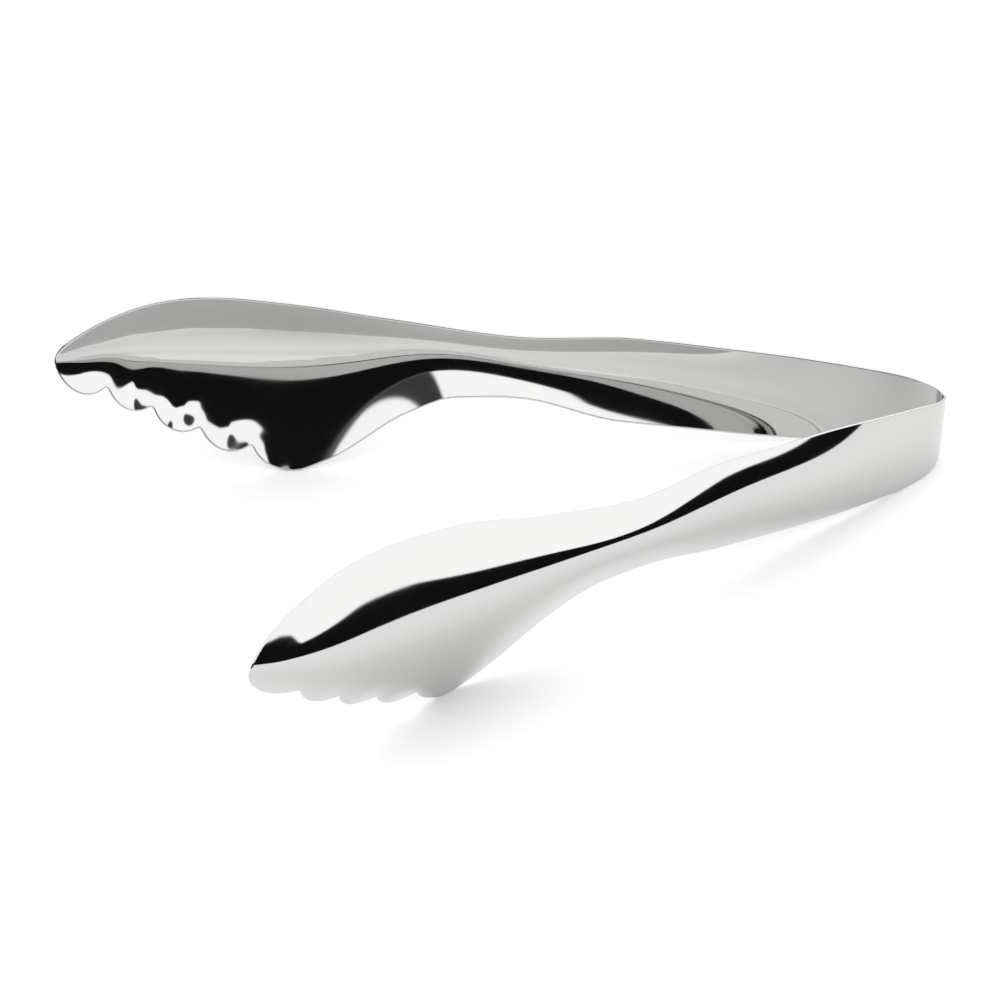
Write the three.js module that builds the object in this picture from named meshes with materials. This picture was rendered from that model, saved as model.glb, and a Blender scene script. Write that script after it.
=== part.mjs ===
// Serving tongs bent from one strip of polished stainless steel, standing on edge.
// The strip is drawn in its own upright frame: x runs from the crown of the bow (x = 0)
// towards the blade tips (negative x), +y is the rear arm, z is up and centred on the strip.
// The whole assembly is then leaned by TILT so that it rests on the bow and the two heels.
import * as THREE from 'three';

const THICKNESS = 1.0;          // sheet thickness, mm
const SPLIT_GAP = 0.3;          // clearance left between neighbouring nodes
const TILT = 9.4;               // lean of the strip about y when it rests on a table, degrees
const REST_HEIGHT = 8.28;       // height of the strip's own origin over the table
const CENTRE_X = 109.19;        // shift that centres the tongs over the origin
const BOW_END = 20;             // length along the strip where the bow hands over to an arm
const HANDLE_END = 118;         // where the handle hands over to the blade
const TIP_S = 238;              // developed length from crown to blade tip
const TIP_Z = -10.3;            // height of the blade tip on the strip
const NOSE_START = 190;         // the top edge starts to round down to the tip here
const NOSE_RISE = 24.8;         // height of the top edge over the tip at NOSE_START
const NOTCHES = [[223.2, -17.1], [210, -21.8], [196.5, -26.1], [182.4, -29.4]];
const NOTCH_ROUND = 1.6;        // softening of the cusps between scallops
const SCALLOP_SAG = 0.235;      // depth of a scallop over its chord
const TIP_SAG = 0.27;           // the same for the last scallop, next to the tip
const HEEL = [171.5, -34.8];    // lowest point of the blade
const HEEL_SIZE = [11.2, 8.0];  // half-length and height of the rounded heel
const LIP = 0.89;               // extra inward curl along the scalloped edge
const FLUTE_DEPTH = 0.38;       // outward swell of each scallop inside that lip
const FLUTE_HEIGHT = 10.2;      // how far the lip and the swells run up the blade

// Heading of the outermost line in plan, in degrees from -x, against length from the crown.
const HEADING = [[0, 90], [4.5, 52], [9.5, 36.8], [16, 24.9], [26, 24.8], [44, 23.3], [85, 19.3],
  [120, 21.4], [150, 19.3], [178, 18.1], [205, 13.8], [TIP_S, -7.1]];
// Height of the upper and of the lower edge against length.
const TOP = [[0, 10.32], [20, 11.9], [56, 13.25], [86, 13.2], [119, 9.8], [150, 11.9], [178, 14.5],
  [190, 14.5]];
const BOTTOM = [[0, -7.49], [20, -10.87], [56, -12.39], [86, -12.2], [112, -9.3], [130, -10.9],
  [142, -16.2], [162, -31], HEEL];
// Section of the strip: straight flanks that lean inwards by SLOPE_UP and SLOPE_LOW (inset over height),
// joined by a round bend of half-width BEND centred at height BEND_Z.
const SLOPE_UP = [[0, 0.17], [30, 0.555], [60, 0.967], [90, 1.109], [115, 1.331], [135, 1.401],
  [155, 1.353], [175, 1.189], [195, 0.95], [215, 0.782], [TIP_S, 0.644]];
const SLOPE_LOW = [[0, 0.1], [30, 0.54], [60, 0.769], [90, 0.732], [115, 0.726], [135, 0.631],
  [155, 0.525], [175, 0.48], [195, 0.498], [215, 0.515], [TIP_S, 0.581]];
const BEND = [[0, 24.97], [30, 18.76], [60, 13.52], [90, 9.97], [115, 6.18], [135, 5.2], [155, 8.02],
  [175, 9.83], [195, 9.82], [215, 6.94], [TIP_S, 2.09]];
const BEND_Z = [[0, -7.03], [30, -2.5], [60, 1.43], [90, 3.45], [115, 2.72], [135, 2.96], [155, 2.48],
  [175, 0.84], [195, -2.32], [215, -5.86], [TIP_S, -9.28]];

const rad = (degrees) => degrees * Math.PI / 180;
const clamp = (v, lo, hi) => Math.min(hi, Math.max(lo, v));
const ease = (q) => q * q * (3 - 2 * q);

// Span of the knot list that holds s.
function spanOf(knots, s) {
  let i = 0;
  while (i < knots.length - 2 && s > knots[i + 1][0]) i += 1;
  return i;
}

// Smooth curve through a short list of [s, value] knots, flat where the knots turn.
function through(knots, s) {
  const last = knots.length - 1;
  if (s <= knots[0][0]) return knots[0][1];
  if (s >= knots[last][0]) return knots[last][1];
  const i = spanOf(knots, s);
  const slopeAt = (k) => {
    if (k === 0 || k === last) return 0;
    const before = (knots[k][1] - knots[k - 1][1]) / (knots[k][0] - knots[k - 1][0]);
    const after = (knots[k + 1][1] - knots[k][1]) / (knots[k + 1][0] - knots[k][0]);
    return before * after <= 0 ? 0 : 2 * before * after / (before + after);
  };
  const span = knots[i + 1][0] - knots[i][0];
  const q = (s - knots[i][0]) / span;
  const blend = ease(q);
  return knots[i][1] * (1 - blend) + knots[i + 1][1] * blend
    + span * (slopeAt(i) * q * (1 - q) * (1 - q) - slopeAt(i + 1) * q * q * (1 - q));
}

// Curvature-continuous cubic through [s, value] knots, level at the first one.
function flowing(knots) {
  const n = knots.length;
  const gap = (i) => knots[i + 1][0] - knots[i][0];
  const slope = (i) => (knots[i + 1][1] - knots[i][1]) / gap(i);
  const upper = [0.5];
  const load = [3 * slope(0) / gap(0)];
  for (let i = 1; i < n - 1; i += 1) {
    const pivot = (gap(i - 1) + gap(i)) / 3 - gap(i - 1) / 6 * upper[i - 1];
    upper.push(gap(i) / 6 / pivot);
    load.push((slope(i) - slope(i - 1) - gap(i - 1) / 6 * load[i - 1]) / pivot);
  }
  const bend = new Array(n).fill(0);
  for (let i = n - 2; i >= 0; i -= 1) bend[i] = load[i] - upper[i] * bend[i + 1];
  return (at) => {
    const s = clamp(at, knots[0][0], knots[n - 1][0]);
    const i = spanOf(knots, s);
    const h = gap(i);
    const a = knots[i + 1][0] - s;
    const b = s - knots[i][0];
    return (bend[i] * a ** 3 + bend[i + 1] * b ** 3) / (6 * h)
      + (knots[i][1] / h - bend[i] * h / 6) * a + (knots[i + 1][1] / h - bend[i + 1] * h / 6) * b;
  };
}
const slopeUp = flowing(SLOPE_UP);
const slopeLow = flowing(SLOPE_LOW);
const bendWidth = flowing(BEND);
const bendHeight = flowing(BEND_Z);

// Plan line of the strip's outermost fibre, stepped along its length.
const LINE_STEP = 0.05;
const LINE = [{ x: 0, y: 0 }];
for (let k = 0; k * LINE_STEP < TIP_S + 1; k += 1) {
  const heading = rad(through(HEADING, (k + 0.5) * LINE_STEP));
  const { x, y } = LINE[k];
  LINE.push({ x: x - Math.cos(heading) * LINE_STEP, y: y + Math.sin(heading) * LINE_STEP });
}

// Point and heading on the plan line at length s.
function planAt(s) {
  const k = Math.min(Math.floor(s / LINE_STEP), LINE.length - 2);
  const q = s / LINE_STEP - k;
  const x = LINE[k].x + (LINE[k + 1].x - LINE[k].x) * q;
  const y = LINE[k].y + (LINE[k + 1].y - LINE[k].y) * q;
  return { x, y, heading: rad(through(HEADING, s)) };
}

// Upper outline of the strip and blade.
function topEdge(s) {
  if (s <= NOSE_START) return through(TOP, s);
  const q = clamp((s - NOSE_START) / (TIP_S - NOSE_START), 0, 1);
  return TIP_Z + NOSE_RISE * (1 - q * q) ** 0.6;
}

// Lower side of the circle whose arc hangs below the chord a-b; far above outside the circle.
function arcUnder(a, b, ratio, s) {
  const chord = Math.hypot(b[0] - a[0], b[1] - a[1]);
  const sag = ratio * chord;
  const radius = (chord * chord / 4 + sag * sag) / (2 * sag);
  const ux = (b[0] - a[0]) / chord;
  const uz = (b[1] - a[1]) / chord;
  const cx = (a[0] + b[0]) / 2 - uz * (radius - sag);
  const cz = (a[1] + b[1]) / 2 + ux * (radius - sag);
  const inside = radius * radius - (s - cx) * (s - cx);
  return inside > 0 ? cz - Math.sqrt(inside) : 100;
}

// Lower of two outlines with the corner between them softened.
function softerMin(a, b) {
  const h = Math.max(NOTCH_ROUND - Math.abs(a - b), 0) / NOTCH_ROUND;
  return Math.min(a, b) - h * h * NOTCH_ROUND / 4;
}

// Lower outline: plain strip, rounded heel, then the scallops up to the tip.
function bottomEdge(s) {
  if (s >= TIP_S) return TIP_Z;
  if (s <= HEEL[0]) return through(BOTTOM, s);
  const inside = 1 - ((s - HEEL[0]) / HEEL_SIZE[0]) ** 2;
  let edge = inside > 0 ? HEEL[1] + HEEL_SIZE[1] * (1 - Math.sqrt(inside)) : 100;
  const knots = [...NOTCHES].reverse();
  knots.push([TIP_S, TIP_Z]);
  for (let i = 0; i < knots.length - 1; i += 1) {
    const ratio = i === knots.length - 2 ? TIP_SAG : SCALLOP_SAG;
    edge = softerMin(edge, arcUnder(knots[i], knots[i + 1], ratio, s));
  }
  return edge;
}

// Extra inward curl along the scalloped edge, rippled into one shallow shell per scallop.
function lip(s, z) {
  const [s1, z1] = NOTCHES[0];
  const [s4, z4] = NOTCHES[NOTCHES.length - 1];
  const fall = (z1 - z4) / (s1 - s4);
  const above = z - (z4 + fall * (s - s4));
  const along = s + above * fall / (1 + fall * fall);
  const knots = [HEEL[0] - 6, ...NOTCHES.map((n) => n[0]).reverse(), TIP_S + 2];
  let i = 0;
  while (i < knots.length - 2 && along > knots[i + 1]) i += 1;
  const q = clamp((along - knots[i]) / (knots[i + 1] - knots[i]), 0, 1);
  const depth = Math.max(1 - above / FLUTE_HEIGHT, 0);
  const start = ease(clamp((along - HEEL[0] + 2) / 10, 0, 1));
  const swell = FLUTE_DEPTH * (0.5 - 0.5 * Math.cos(2 * Math.PI * q)) * ease(clamp(depth, 0, 1));
  return start * (LIP * depth * depth - swell);
}

// How far the sheet lies inside its outermost line at length s and height z.
function section(s, z) {
  const up = slopeUp(s);
  const low = slopeLow(s);
  const bend = bendWidth(s);
  const k = (low - up) / (low + up);
  const rise = (q) => bend * ((up - low) * q + (up + low) * Math.sqrt(1 + q * q)) / 2;
  return rise((z - bendHeight(s)) / bend) - rise(k / Math.sqrt(1 - k * k));
}

// Middle surface of the sheet at length s and height z. Negative s is the front arm.
function sheet(s, z) {
  const side = s < 0 ? -1 : 1;
  const a = Math.abs(s);
  const { x, y, heading } = planAt(a);
  const inset = section(a, z) + lip(a, z);
  return new THREE.Vector3(x - Math.sin(heading) * inset, side * (y - Math.cos(heading) * inset), z);
}

// Outward normal of the middle surface.
function sheetNormal(s, z) {
  const h = 0.05;
  const along = sheet(s + h, z).sub(sheet(s - h, z));
  const up = sheet(s, z + h).sub(sheet(s, z - h));
  return along.cross(up).normalize();
}

// The resting pose: lean the strip and flatten the contact spots on the table.
const lean = new THREE.Matrix4().makeRotationY(rad(TILT));
function toRest(point) {
  point.applyMatrix4(lean);
  point.x += CENTRE_X;
  point.z = Math.max(0, point.z + REST_HEIGHT);
  return point;
}

// Closed sheet-metal shell between the given stations; the last one may be the pointed tip.
function shell(name, stations, columns, colour) {
  const positions = [];
  const index = [];
  const rows = stations.map((s) => {
    const pointed = Math.abs(s) >= TIP_S;
    const low = pointed ? TIP_Z : bottomEdge(Math.abs(s));
    const high = pointed ? TIP_Z : topEdge(Math.abs(s));
    const ids = [[], []];
    const count = pointed ? 1 : columns + 1;
    for (let face = 0; face < 2; face += 1) {
      for (let c = 0; c < count; c += 1) {
        const z = low + (high - low) * (c / columns) ** 1.15;
        const offset = (face === 0 ? 0.5 : -0.5) * THICKNESS;
        const shrink = pointed ? Math.sign(s) * 0.01 : 0;
        const p = sheet(s - shrink, z).addScaledVector(sheetNormal(s - shrink, z), offset);
        ids[face].push(positions.length / 3);
        toRest(p);
        positions.push(p.x, p.y, p.z);
      }
    }
    return ids;
  });
  const at = (row, face, c) => rows[row][face][Math.min(c, rows[row][face].length - 1)];
  const tri = (a, b, c) => {
    if (a !== b && b !== c && a !== c) index.push(a, b, c);
  };
  const quad = (a, b, c, d) => {
    tri(a, b, c);
    tri(a, c, d);
  };
  const end = stations.length - 1;
  for (let r = 0; r < end; r += 1) {
    for (let c = 0; c < columns; c += 1) {
      quad(at(r, 0, c), at(r + 1, 0, c), at(r + 1, 0, c + 1), at(r, 0, c + 1));
      quad(at(r, 1, c + 1), at(r + 1, 1, c + 1), at(r + 1, 1, c), at(r, 1, c));
    }
    quad(at(r, 1, 0), at(r + 1, 1, 0), at(r + 1, 0, 0), at(r, 0, 0));
    quad(at(r, 0, columns), at(r + 1, 0, columns), at(r + 1, 1, columns), at(r, 1, columns));
  }
  for (const [r, flip] of [[0, false], [end, true]]) {
    for (let c = 0; c < columns && rows[r][0].length > 1; c += 1) {
      const face = [at(r, 0, c), at(r, 0, c + 1), at(r, 1, c + 1), at(r, 1, c)];
      if (flip) face.reverse();
      quad(...face);
    }
  }
  const geometry = new THREE.BufferGeometry();
  geometry.setAttribute('position', new THREE.Float32BufferAttribute(positions, 3));
  geometry.setIndex(index);
  geometry.computeVertexNormals();
  const material = new THREE.MeshStandardMaterial({ color: colour, metalness: 1, roughness: 0.12 });
  material.name = `${name}_steel`;
  const mesh = new THREE.Mesh(geometry, material);
  mesh.name = name;
  return mesh;
}

// Evenly spaced stations from one length to another.
const evenly = (from, to, steps) => Array.from({ length: steps + 1 }, (_, k) => from + (to - from) * k / steps);
// Stations of the blade: even between the notches, closing up at the round tip.
function bladeStations() {
  const start = HANDLE_END + SPLIT_GAP / 2;
  const stops = [start, HEEL[0] - 9, ...NOTCHES.map((n) => n[0]).reverse()];
  const list = [start];
  for (let i = 0; i < stops.length - 1; i += 1) {
    const steps = Math.ceil((stops[i + 1] - stops[i]) / (i === 0 ? 2.8 : 1.7));
    list.push(...evenly(stops[i], stops[i + 1], steps).slice(1));
  }
  const last = stops[stops.length - 1];
  const nose = evenly(0, 1, 10).slice(1).map((q) => last + (TIP_S - last) * Math.sin(q * Math.PI / 2));
  return [...list, ...nose];
}
// Stations of the bow, closer together around the crown.
const bowStations = () => evenly(-1, 1, 36).map((q) => BOW_END * (0.55 * q + 0.45 * q ** 3));

const tongs = new THREE.Group();
tongs.name = 'serving_tongs';
tongs.add(shell('spring_bow', bowStations(), 8, 0xc9ccd0));
for (const [prefix, side] of [['front', -1], ['rear', 1]]) {
  const handle = evenly(BOW_END + SPLIT_GAP, HANDLE_END - SPLIT_GAP / 2, 22);
  const blade = bladeStations();
  const order = (list) => (side < 0 ? list.map((s) => -s).reverse() : list);
  tongs.add(shell(`${prefix}_handle`, order(handle), 8, 0xc4c7cb));
  tongs.add(shell(`${prefix}_blade`, order(blade), 12, 0xd0d3d6));
}

export default tongs;
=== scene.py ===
import math

import bpy
import numpy as np
from mathutils import Matrix, Vector


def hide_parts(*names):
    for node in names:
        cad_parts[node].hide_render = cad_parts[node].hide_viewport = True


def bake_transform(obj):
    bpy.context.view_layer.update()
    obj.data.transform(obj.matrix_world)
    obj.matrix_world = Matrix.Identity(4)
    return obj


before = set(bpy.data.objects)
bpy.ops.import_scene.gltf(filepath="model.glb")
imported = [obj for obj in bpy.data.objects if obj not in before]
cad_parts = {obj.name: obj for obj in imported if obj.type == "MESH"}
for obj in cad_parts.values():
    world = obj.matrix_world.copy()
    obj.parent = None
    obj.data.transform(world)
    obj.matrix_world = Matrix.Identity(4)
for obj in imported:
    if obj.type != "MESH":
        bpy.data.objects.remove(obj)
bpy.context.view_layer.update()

# The strip's own frame is in millimetres: x runs from the crown of the bow towards the tips (negative
# x), y towards the rear arm, z up and centred on the strip. These are the same driving dimensions as the
# CAD, except that the sheet is a little thinner, so its rounded rims stay inside the CAD's square ones.
THICKNESS = 0.92
TILT = math.radians(9.4)
CENTRE_X = 109.19
REST_HEIGHT = 8.28
TIP_S = 238.0
TIP_Z = -10.3
NOSE_START = 190.0
NOSE_RISE = 24.8
NOTCHES = [(223.2, -17.1), (210.0, -21.8), (196.5, -26.1), (182.4, -29.4)]
SCALLOP_SAG = 0.235
TIP_SAG = 0.27
HEEL = (171.5, -34.8)
HEEL_SIZE = (11.2, 8.0)
NOTCH_ROUND = 1.6
LIP = 0.89
FLUTE_DEPTH = 0.38
FLUTE_HEIGHT = 10.2
# Heading of the outermost line, in degrees from -x, against length from the crown.
HEADING = [(0, 90), (4.5, 52), (9.5, 36.8), (16, 24.9), (26, 24.8), (44, 23.3), (85, 19.3), (120, 21.4),
           (150, 19.3), (178, 18.1), (205, 13.8), (TIP_S, -7.1)]
TOP = [(0, 10.32), (20, 11.9), (56, 13.25), (86, 13.2), (119, 9.8), (150, 11.9), (178, 14.5),
       (190, 14.5)]
BOTTOM = [(0, -7.49), (20, -10.87), (56, -12.39), (86, -12.2), (112, -9.3), (130, -10.9), (142, -16.2),
          (162, -31), HEEL]
# Section of the strip: straight flanks that lean inwards by SLOPE_UP and SLOPE_LOW (inset over height),
# joined by a round bend of half-width BEND centred at height BEND_Z.
SLOPE_UP = [(0, 0.17), (30, 0.555), (60, 0.967), (90, 1.109), (115, 1.331), (135, 1.401), (155, 1.353),
            (175, 1.189), (195, 0.95), (215, 0.782), (TIP_S, 0.644)]
SLOPE_LOW = [(0, 0.1), (30, 0.54), (60, 0.769), (90, 0.732), (115, 0.726), (135, 0.631), (155, 0.525),
             (175, 0.48), (195, 0.498), (215, 0.515), (TIP_S, 0.581)]
BEND = [(0, 24.97), (30, 18.76), (60, 13.52), (90, 9.97), (115, 6.18), (135, 5.2), (155, 8.02),
        (175, 9.83), (195, 9.82), (215, 6.94), (TIP_S, 2.09)]
BEND_Z = [(0, -7.03), (30, -2.5), (60, 1.43), (90, 3.45), (115, 2.72), (135, 2.96), (155, 2.48),
          (175, 0.84), (195, -2.32), (215, -5.86), (TIP_S, -9.28)]

# Mesh of one arm: stations along it, strips across it and facets round each rim.
ROWS = 420
ACROSS = 56
RIM = 6
PLAN_SAMPLES = 4800
STATION_SAMPLES = 6000
TANGENT_STEP = 0.06
# The stations close up along the crown, to this length, and over the last part of the tip.
CROWN_DENSE = 12
CROWN_EXTRA = 1.2
TIP_DENSE = 228
TIP_DENSE_LENGTH = 9
TIP_EXTRA = 10
STEEPEST = 4
# Height given to an arc or the heel where it has no lower side, so that it never wins the minimum.
FAR_ABOVE = 100.0
# Where the bend of the bow starts and ends, as distances from the crown towards the tips.
BLEND_START = 2.0
BLEND_END = 45.0


def ease(q):
    return q * q * (3 - 2 * q)


def through(knots, s):
    """Smooth curve through a short list of (s, value) knots, flat where the knots turn."""
    k = np.array(knots, float)
    x, y = k[:, 0], k[:, 1]
    d = np.diff(y) / np.diff(x)
    m = np.zeros(len(x))
    for i in range(1, len(x) - 1):
        m[i] = 0 if d[i - 1] * d[i] <= 0 else 2 * d[i - 1] * d[i] / (d[i - 1] + d[i])
    s = np.clip(s, x[0], x[-1])
    i = np.clip(np.searchsorted(x, s, side="right") - 1, 0, len(x) - 2)
    h = x[i + 1] - x[i]
    q = (s - x[i]) / h
    b = ease(q)
    return y[i] * (1 - b) + y[i + 1] * b + h * (m[i] * q * (1 - q) ** 2 - m[i + 1] * q * q * (1 - q))


def plan_table():
    """Plan line of the strip's outermost fibre: arrays of length, x, y and heading."""
    s = np.linspace(0, TIP_S + 1, PLAN_SAMPLES)
    heading = np.radians(through(HEADING, s))
    mid = (heading[1:] + heading[:-1]) / 2
    step = s[1] - s[0]
    x = np.concatenate([[0], -np.cumsum(np.cos(mid)) * step])
    y = np.concatenate([[0], np.cumsum(np.sin(mid)) * step])
    return s, x, y, heading


LINE = plan_table()


def flowing(knots, s):
    """Curvature-continuous cubic through (s, value) knots, level at the first one."""
    x, y = np.array(knots, float).T
    n = len(x)
    h = np.diff(x)
    grid, load = np.zeros((n, n)), np.zeros(n)
    grid[0, 0], grid[0, 1], load[0] = h[0] / 3, h[0] / 6, (y[1] - y[0]) / h[0]
    grid[-1, -1] = 1
    for i in range(1, n - 1):
        grid[i, i - 1:i + 2] = h[i - 1] / 6, (h[i - 1] + h[i]) / 3, h[i] / 6
        load[i] = (y[i + 1] - y[i]) / h[i] - (y[i] - y[i - 1]) / h[i - 1]
    bend = np.linalg.solve(grid, load)
    s = np.clip(s, x[0], x[-1])
    i = np.clip(np.searchsorted(x, s, side="right") - 1, 0, n - 2)
    a, b = x[i + 1] - s, s - x[i]
    return ((bend[i] * a ** 3 + bend[i + 1] * b ** 3) / (6 * h[i])
            + (y[i] / h[i] - bend[i] * h[i] / 6) * a + (y[i + 1] / h[i] - bend[i + 1] * h[i] / 6) * b)


def top_edge(s):
    """Height of the upper outline at length s."""
    q = np.clip((s - NOSE_START) / (TIP_S - NOSE_START), 0, 1)
    return np.where(s <= NOSE_START, through(TOP, s), TIP_Z + NOSE_RISE * (1 - q * q) ** 0.6)


def arc_under(a, b, ratio, s):
    """Lower side of the circle whose arc hangs below the chord a-b; far above outside the circle."""
    chord = math.hypot(b[0] - a[0], b[1] - a[1])
    sag = ratio * chord
    radius = (chord * chord / 4 + sag * sag) / (2 * sag)
    ux, uz = (b[0] - a[0]) / chord, (b[1] - a[1]) / chord
    cx = (a[0] + b[0]) / 2 - uz * (radius - sag)
    cz = (a[1] + b[1]) / 2 + ux * (radius - sag)
    inside = radius ** 2 - (s - cx) ** 2
    return np.where(inside > 0, cz - np.sqrt(np.maximum(inside, 0)), FAR_ABOVE)


def softer_min(a, b):
    """The lower of two edges, rounded where they cross."""
    h = np.maximum(NOTCH_ROUND - np.abs(a - b), 0) / NOTCH_ROUND
    return np.minimum(a, b) - h * h * NOTCH_ROUND / 4


def bottom_edge(s):
    """Height of the lower outline at length s: a curve up to the heel, then the heel and the scallops."""
    a, b = HEEL_SIZE
    inside = 1 - ((s - HEEL[0]) / a) ** 2
    edge = np.where(inside > 0, HEEL[1] + b - b * np.sqrt(np.maximum(inside, 0)), FAR_ABOVE)
    knots = list(reversed(NOTCHES)) + [(TIP_S, TIP_Z)]
    for i in range(len(knots) - 1):
        ratio = TIP_SAG if i == len(knots) - 2 else SCALLOP_SAG
        edge = softer_min(edge, arc_under(knots[i], knots[i + 1], ratio, s))
    edge = np.where(s <= HEEL[0], through(BOTTOM, s), edge)
    return np.where(s >= TIP_S, TIP_Z, edge)


def lip(s, z):
    """Extra inward curl along the scalloped edge, rippled into one shallow shell per scallop."""
    (s1, z1), (s4, z4) = NOTCHES[0], NOTCHES[-1]
    lean = (z1 - z4) / (s1 - s4)
    above = z - (z4 + lean * (s - s4))
    along = s + above * lean / (1 + lean * lean)
    knots = np.array([HEEL[0] - 6] + [n[0] for n in reversed(NOTCHES)] + [TIP_S + 2])
    i = np.clip(np.searchsorted(knots, along, side="right") - 1, 0, len(knots) - 2)
    q = np.clip((along - knots[i]) / (knots[i + 1] - knots[i]), 0, 1)
    depth = np.maximum(1 - above / FLUTE_HEIGHT, 0)
    start = ease(np.clip((along - HEEL[0] + 2) / 10, 0, 1))
    swell = FLUTE_DEPTH * (0.5 - 0.5 * np.cos(2 * np.pi * q)) * ease(np.clip(depth, 0, 1))
    return start * (LIP * depth ** 2 - swell)


def section(s, z):
    """How far the sheet lies inside its outermost line at length s and height z."""
    up, low = flowing(SLOPE_UP, s), flowing(SLOPE_LOW, s)
    bend, centre = flowing(BEND, s), flowing(BEND_Z, s)
    k = (low - up) / (low + up)

    def rise(q):
        return bend * ((up - low) * q + (up + low) * np.sqrt(1 + q * q)) / 2

    return rise((z - centre) / bend) - rise(k / np.sqrt(1 - k * k))


def sheet(s, z):
    """Middle surface of the rear arm."""
    a = np.abs(s)
    x = np.interp(a, LINE[0], LINE[1])
    y = np.interp(a, LINE[0], LINE[2])
    h = np.interp(a, LINE[0], LINE[3])
    inset = section(a, z) + lip(a, z)
    side = np.where(s < 0, -1.0, 1.0)
    return np.stack([x - np.sin(h) * inset, side * (y - np.cos(h) * inset), z + 0 * x], -1)


def unit(v):
    return v / np.maximum(np.linalg.norm(v, axis=-1, keepdims=True), 1e-12)


def tangents(s, z):
    """Slopes of the middle surface along the strip and up it."""
    h = TANGENT_STEP
    along = (sheet(s + h, z) - sheet(s - h, z)) / (2 * h)
    upward = (sheet(s, z + h) - sheet(s, z - h)) / (2 * h)
    return along, upward


def outward(s, z):
    """Direction square to the sheet, away from the other arm."""
    a, b = tangents(s, z)
    return unit(np.cross(a, b))


def stations(count):
    """Lengths along the strip, denser where the lower outline is steep and closing up at the tip."""
    s = np.linspace(0, TIP_S, STATION_SAMPLES)
    slope = np.minimum(np.abs(np.gradient(bottom_edge(s), s)), STEEPEST)
    crown = 1 + CROWN_EXTRA * (s < CROWN_DENSE)
    tip = TIP_EXTRA * np.clip((s - TIP_DENSE) / TIP_DENSE_LENGTH, 0, 1) ** 4
    pull = np.hypot(1, slope) * crown + tip
    measure = np.concatenate([[0], np.cumsum((pull[1:] + pull[:-1]) / 2 * np.diff(s))])
    rows = np.interp(np.linspace(0, measure[-1], count), measure, s)
    rows[-1] = TIP_S
    return rows


def edge_inset(s, z, sign):
    """Outline pulled in by half the thickness: its s, its z and the direction out of the edge."""
    p = sheet(s, z)
    n = outward(s, z)
    t = unit(np.gradient(p, axis=0))
    out = unit(np.cross(t, n)) * sign
    ms, mz = tangents(s, z)
    out[-1] = unit(ms[-1])
    goal = -out * THICKNESS / 2
    a11, a12, a22 = (ms * ms).sum(-1), (ms * mz).sum(-1), (mz * mz).sum(-1)
    b1, b2 = (ms * goal).sum(-1), (mz * goal).sum(-1)
    det = a11 * a22 - a12 * a12
    ds, dz = (b1 * a22 - b2 * a12) / det, (b2 * a11 - b1 * a12) / det
    ds[0] = 0
    return s + ds, z + dz, out


def to_rest(p):
    """From the strip's own frame to the resting frame: leaned about y, then moved."""
    q = p.copy()
    q[..., 0] = p[..., 0] * math.cos(TILT) + p[..., 2] * math.sin(TILT) + CENTRE_X
    q[..., 2] = p[..., 2] * math.cos(TILT) - p[..., 0] * math.sin(TILT) + REST_HEIGHT
    return q


def turn_only(v):
    """The same lean for a direction."""
    q = v.copy()
    q[..., 0] = v[..., 0] * math.cos(TILT) + v[..., 2] * math.sin(TILT)
    q[..., 2] = v[..., 2] * math.cos(TILT) - v[..., 0] * math.sin(TILT)
    return q


def arm_grid(rows, across, rim):
    """Closed loops of points and normals round the sheet, one per station, from the crown to the tip."""
    s = stations(rows)
    low, high = bottom_edge(s), top_edge(s)
    sb, zb, mb = edge_inset(s, low, 1.0)
    st, zt, mt = edge_inset(s, high, -1.0)
    t = np.linspace(0, 1, across + 1)
    ss = sb[:, None] * (1 - t) + st[:, None] * t
    zz = zb[:, None] * (1 - t) + zt[:, None] * t
    ss[-1], zz[-1] = TIP_S - THICKNESS / 2, TIP_Z
    mid = sheet(ss, zz)
    n = outward(ss, zz)
    half = THICKNESS / 2
    points, normals = [mid + n * half], [n]
    phi = np.linspace(math.pi / 2, -math.pi / 2, rim + 2)[1:-1]

    def edge(column, m):
        nn = n[:, column]
        m = unit(m - (m * nn).sum(-1, keepdims=True) * nn)
        d = np.cos(phi)[None, :, None] * m[:, None] + np.sin(phi)[None, :, None] * nn[:, None]
        return mid[:, column][:, None] + d * half, d

    top_points, top_normals = edge(-1, mt)
    low_points, low_normals = edge(0, mb)
    points += [top_points, (mid - n * half)[:, ::-1], low_points[:, ::-1]]
    normals += [top_normals, -n[:, ::-1], low_normals[:, ::-1]]
    return np.concatenate(points, 1), np.concatenate(normals, 1)


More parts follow.
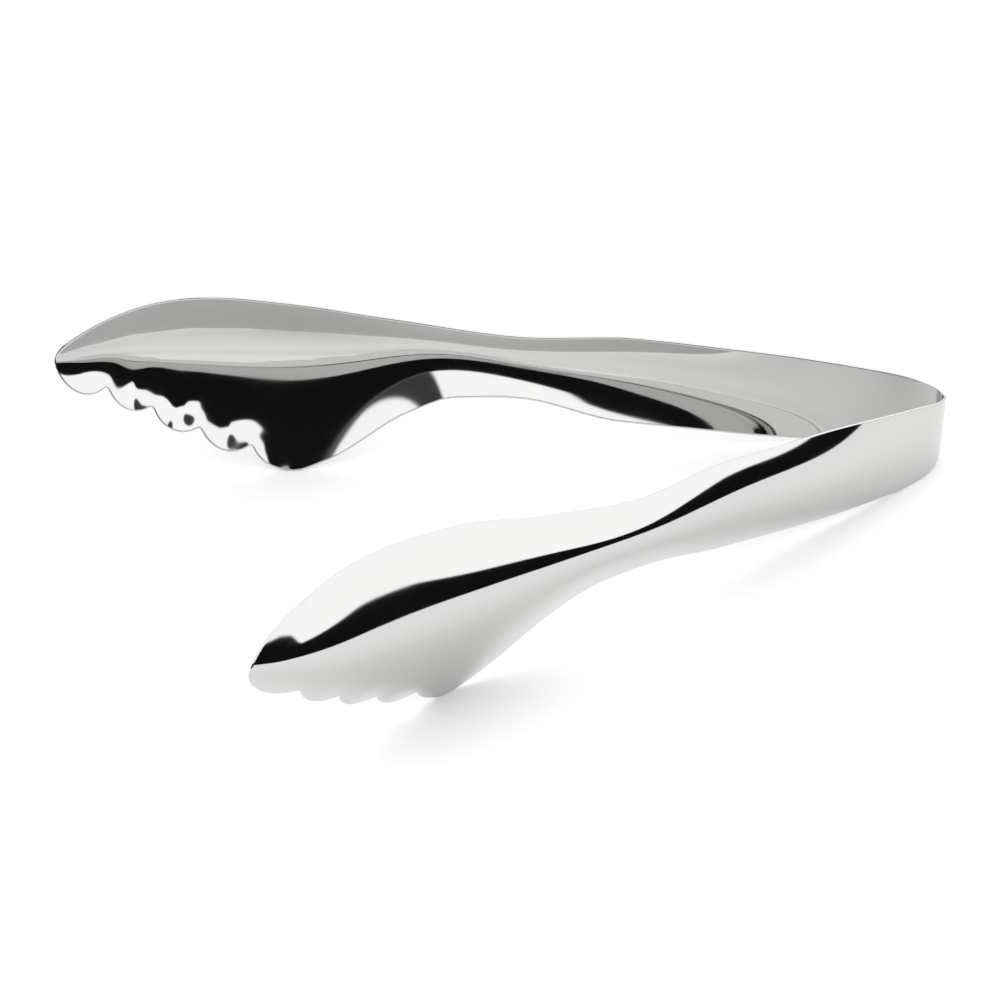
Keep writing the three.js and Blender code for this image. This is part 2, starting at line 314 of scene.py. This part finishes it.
def build_arm(name, side):
    """One half of the strip, crown to tip, as a closed mesh. Side is 1 for the rear, -1 for the front."""
    rows, across, rim = ROWS, ACROSS, RIM
    p, n = arm_grid(rows, across, rim)
    p, n = to_rest(p), turn_only(n)
    p[..., 2] = np.maximum(p[..., 2], 0)
    p[..., 1] *= side
    n[..., 1] *= side
    count = p.shape[1]
    # The last loop folds onto itself at the tip: both rims share their points there.
    shared = np.arange(rows * count).reshape(rows, count)
    last = shared[-1]
    last[:across + 1] = last[0]
    inner = across + 1 + rim
    last[inner:inner + across + 1] = last[inner]
    for k in range(rim):
        last[inner + across + 1 + k] = last[across + 1 + rim - 1 - k]
    # Skin between neighbouring loops.
    faces = []
    for r in range(rows - 1):
        for c in range(count):
            d = (c + 1) % count
            quad = [shared[r, c], shared[r, d], shared[r + 1, d], shared[r + 1, c]]
            if side > 0:
                quad.reverse()
            face = []
            for v in quad:
                if v not in face:
                    face.append(int(v))
            if len(face) > 2:
                faces.append(face)
    # Flat cap on the symmetry plane: a ladder across the sheet and a fan at each rim.
    cap = [int(v) for v in shared[0]]
    for c in range(across):
        a, b = cap[c], cap[c + 1]
        e, f = cap[inner + across - c - 1], cap[inner + across - c]
        face = [a, b, e, f]
        faces.append(face if side > 0 else face[::-1])
    upper = [cap[across]] + cap[across + 1:inner + 1]
    lower = [cap[inner + across]] + cap[inner + across + 1:] + [cap[0]]
    for ring in (upper, lower):
        faces.append(ring if side > 0 else ring[::-1])
    used = sorted({v for f in faces for v in f})
    place = {v: i for i, v in enumerate(used)}
    flat_p, flat_n = p.reshape(-1, 3), n.reshape(-1, 3)
    mesh = bpy.data.meshes.new(name)
    corners = [tuple(flat_p[v] / 1000) for v in used]
    mesh.from_pydata(corners, [], [[place[v] for v in f] for f in faces])
    mesh.polygons.foreach_set("use_smooth", [True] * len(faces))
    mesh.normals_split_custom_set_from_vertices([tuple(flat_n[v]) for v in used])
    mesh.update()
    piece = bpy.data.objects.new(name, mesh)
    bpy.context.collection.objects.link(piece)
    return piece


def steel():
    """Mirror-polished stainless steel whose sheen changes slightly from place to place."""
    m = bpy.data.materials.new("polished_steel")
    m.use_nodes = True
    nodes, links = m.node_tree.nodes, m.node_tree.links
    shader = nodes["Principled BSDF"]
    shader.inputs["Base Color"].default_value = (0.57, 0.57, 0.56, 1)
    shader.inputs["Metallic"].default_value = 1.0
    place = nodes.new("ShaderNodeTexCoord")
    cloud = nodes.new("ShaderNodeTexNoise")
    cloud.inputs["Scale"].default_value = 60
    cloud.inputs["Detail"].default_value = 3
    links.new(place.outputs["Object"], cloud.inputs["Vector"])
    rough = nodes.new("ShaderNodeMapRange")
    rough.inputs["From Min"].default_value = 0.3
    rough.inputs["From Max"].default_value = 0.7
    rough.inputs["To Min"].default_value = 0.035
    rough.inputs["To Max"].default_value = 0.065
    links.new(cloud.outputs["Fac"], rough.inputs["Value"])
    links.new(rough.outputs["Result"], shader.inputs["Roughness"])
    return m


STEEL = steel()
for name, side in (("rear_half", 1), ("front_half", -1)):
    piece = build_arm(name, side)
    piece.data.materials.append(STEEL)
    # Points just past the crown and at the root of the handle, where the bend of the bow would start and
    # end; nothing uses them.
    start = to_rest(np.array([[-BLEND_START, 0.0, 0.0]]))[0] / 1000
    end = to_rest(np.array([[-BLEND_END, 0.0, 0.0]]))[0] / 1000
    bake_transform(piece)
    short = "rear" if side > 0 else "front"
    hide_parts(f"{short}_handle", f"{short}_blade", "spring_bow")

# Plain pale floor, a little self-lit so that it stays white.
bpy.ops.mesh.primitive_circle_add(vertices=96, radius=4.0, fill_type="NGON", location=(0, 0, 0))
floor = bpy.context.object
floor.name = "floor"
paper = bpy.data.materials.new("floor_white")
paper.use_nodes = True
matt = paper.node_tree.nodes["Principled BSDF"]
matt.inputs["Base Color"].default_value = (0.8, 0.8, 0.8, 1)
matt.inputs["Roughness"].default_value = 0.9
matt.inputs["Specular IOR Level"].default_value = 0.0
matt.inputs["Emission Color"].default_value = (1, 1, 1, 1)
matt.inputs["Emission Strength"].default_value = 0.12
floor.data.materials.append(paper)

# Soft studio: a white tent overhead and a dark room beyond the table's edge, which stands higher in front.
# Height of the dark room over the horizon, in degrees, against azimuth from +x.
BAND = [(-180, 20), (-150, 26), (-110, 26), (-97, 27.4), (-94, 30.2), (-84, 30.2), (-79.5, 28),
        (-76.5, 20.5), (-50, 21.8), (-35, 20), (-29, 18), (-22, 11), (-18, 9), (0, 6.5), (60, 9),
        (180, 20)]
# The photographer's dark column: azimuth, half-width, lower and upper elevation, in degrees.
COLUMN = (-113.8, 4.2, 25.8, 40.0)
# Small dark things beside the tent: (azimuth, elevation, radius) in degrees.
SPOTS = [(-74.0, 37.9, 3.2), (-94.3, 39.4, 3.0)]
TENT = 1.6
TABLE_GLOW = 1.0
DARK = 0.008
COLUMN_LIGHT = 0.04
SPOT_LIGHT = 0.03
# Softness of the edges: of the opening's and the column's heights as sines, and of the spots as cosines.
BAND_SOFT = 0.008
COLUMN_SIDE_SOFT = 0.01
COLUMN_FOOT_SOFT = 0.006
COLUMN_HEAD_SOFT = 0.01
SPOT_SOFT = 0.0002
HORIZON_SOFT = 0.003
world = bpy.data.worlds.new("studio")
world.use_nodes = True
bpy.context.scene.world = world
wn, wl = world.node_tree.nodes, world.node_tree.links


def feed(socket, value):
    """A link when the value is another node's socket, a plain number otherwise."""
    if hasattr(value, "links"):
        wl.new(value, socket)
    else:
        socket.default_value = value


def dot(vector, direction):
    node = wn.new("ShaderNodeVectorMath")
    node.operation = "DOT_PRODUCT"
    wl.new(vector, node.inputs[0])
    node.inputs[1].default_value = direction
    return node.outputs["Value"]


def step(value, low, high, start, end, kind="SMOOTHSTEP"):
    """Start below low, end above high, smooth between."""
    node = wn.new("ShaderNodeMapRange")
    node.interpolation_type = kind
    feed(node.inputs["Value"], value)
    feed(node.inputs["From Min"], low)
    feed(node.inputs["From Max"], high)
    feed(node.inputs["To Min"], start)
    feed(node.inputs["To Max"], end)
    return node.outputs["Result"]


def combine(a, b, operation="MULTIPLY"):
    node = wn.new("ShaderNodeMath")
    node.operation = operation
    feed(node.inputs[0], a)
    feed(node.inputs[1], b)
    return node.outputs["Value"]


ray = wn.new("ShaderNodeTexCoord").outputs["Generated"]
height = dot(ray, (0, 0, 1))
apart = wn.new("ShaderNodeSeparateXYZ")
wl.new(ray, apart.inputs[0])
azimuth = combine(apart.outputs["Y"], apart.outputs["X"], "ARCTAN2")
profile = wn.new("ShaderNodeValToRGB")
profile.color_ramp.interpolation = "LINEAR"
wl.new(step(azimuth, -math.pi, math.pi, 0.0, 1.0, "LINEAR"), profile.inputs["Fac"])
stops = profile.color_ramp.elements
for k, (angle, top) in enumerate(BAND):
    at = (angle + 180) / 360
    if k == 0:
        stop = stops[0]
    elif k == len(BAND) - 1:
        stop = stops[-1]
    else:
        stop = stops.new(at)
    stop.position = at
    value = math.sin(math.radians(top))
    stop.color = (value, value, value, 1)
band_top = profile.outputs["Color"]
tent = step(combine(height, band_top, "SUBTRACT"), -BAND_SOFT, BAND_SOFT, DARK, TENT)

# What blocks the tent: the column and the spots.
middle, half_width, foot, head = (math.radians(v) for v in COLUMN)
beside = combine(combine(azimuth, middle, "SUBTRACT"), 0.0, "ABSOLUTE")
in_width = step(beside, half_width - COLUMN_SIDE_SOFT, half_width + COLUMN_SIDE_SOFT, 1.0, 0.0)
foot, head = math.sin(foot), math.sin(head)
over_foot = step(height, foot - COLUMN_FOOT_SOFT, foot + COLUMN_FOOT_SOFT, 0.0, 1.0)
under_head = step(height, head - COLUMN_HEAD_SOFT, head + COLUMN_HEAD_SOFT, 1.0, 0.0)
in_column = combine(in_width, combine(over_foot, under_head))
passed = step(in_column, 0.0, 1.0, 1.0, COLUMN_LIGHT, "LINEAR")
for angle, rise, radius in SPOTS:
    angle, rise, radius = (math.radians(v) for v in (angle, rise, radius))
    centre = (math.cos(rise) * math.cos(angle), math.cos(rise) * math.sin(angle), math.sin(rise))
    rim = math.cos(radius)
    spot = step(dot(ray, centre), rim - SPOT_SOFT, rim + SPOT_SOFT, 1.0, SPOT_LIGHT)
    passed = combine(passed, spot)

# The table's own glow fills the world below the horizon.
table_glow = step(height, -HORIZON_SOFT, HORIZON_SOFT, TABLE_GLOW, 0.0)
over_horizon = step(height, -HORIZON_SOFT, HORIZON_SOFT, 0.0, 1.0)
glow = combine(combine(tent, passed), over_horizon)
background = wn["Background"]
wl.new(combine(glow, table_glow, "ADD"), background.inputs["Color"])

# Camera at the photograph's angle: its heading from +y, how far it looks down and its roll; the lens and the
# distance to the point it looks at, in mm and in metres.
CAMERA_AZ = math.radians(21.262)
CAMERA_EL = math.radians(32.359)
CAMERA_ROLL = math.radians(-0.441)
LENS = 180
SENSOR = 36
DISTANCE = 1.351351
AIM = Vector((-102.826 + CENTRE_X, 56.6, -23.703)) / 1000
flat = Vector((math.sin(CAMERA_AZ), math.cos(CAMERA_AZ), 0))
look = math.cos(CAMERA_EL) * flat - math.sin(CAMERA_EL) * Vector((0, 0, 1))
level_up = math.sin(CAMERA_EL) * flat + math.cos(CAMERA_EL) * Vector((0, 0, 1))
level_right = Vector((math.cos(CAMERA_AZ), -math.sin(CAMERA_AZ), 0))
right = math.cos(CAMERA_ROLL) * level_right + math.sin(CAMERA_ROLL) * level_up
up = math.cos(CAMERA_ROLL) * level_up - math.sin(CAMERA_ROLL) * level_right
data = bpy.data.cameras.new("camera")
data.sensor_width = SENSOR
data.lens = LENS
data.clip_end = 50
camera = bpy.data.objects.new("camera", data)
stand = AIM - look * DISTANCE
camera.matrix_world = Matrix((
    (right.x, up.x, -look.x, stand.x),
    (right.y, up.y, -look.y, stand.y),
    (right.z, up.z, -look.z, stand.z),
    (0, 0, 0, 1)))
bpy.context.collection.objects.link(camera)
bpy.context.scene.camera = camera
bpy.context.scene.view_settings.view_transform = "Standard"
